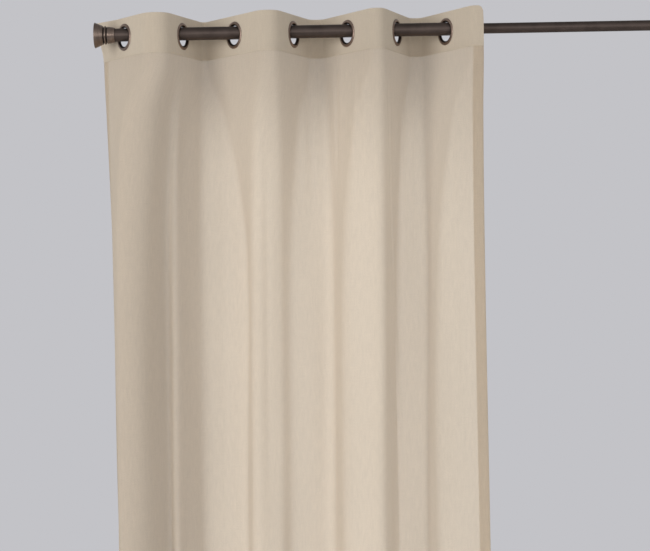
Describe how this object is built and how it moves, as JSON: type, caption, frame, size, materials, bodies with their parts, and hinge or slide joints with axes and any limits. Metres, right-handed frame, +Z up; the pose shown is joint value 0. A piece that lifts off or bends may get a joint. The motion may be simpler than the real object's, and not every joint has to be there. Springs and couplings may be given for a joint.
{
  "type": "eyelet curtain on a telescopic curtain rod",
  "caption": "Semi-sheer linen-look curtain panel hung in uneven folds by metal eyelets from a telescopic rod with flared finials.",
  "frame": {"origin": "on the rod's axis, at the middle of the rod's length", "axes": "+X along the rod to the right as the room sees it, +Y from the room to the wall, +Z up"},
  "size_m": [1.2833, 0.1735, 2.134],
  "materials": {
    "cloth": "matte, semi-sheer",
    "heading": "matte, doubled",
    "eyelet_metal": "satin dark bronze",
    "rod_metal": "satin dark bronze",
    "finial_metal": "satin dark bronze, brushed"
  },
  "bodies": {
    "root": {"curtain_panel": "cloth", "curtain_heading": "heading", "eyelet_1": "eyelet_metal", "eyelet_2": "eyelet_metal", "eyelet_3": "eyelet_metal", "eyelet_4": "eyelet_metal", "eyelet_5": "eyelet_metal", "eyelet_6": "eyelet_metal", "eyelet_7": "eyelet_metal", "rod_outer_tube": "rod_metal", "rod_inner_tube": "rod_metal", "finial_left": "finial_metal", "finial_right": "finial_metal"}
  },
  "joints": []
}
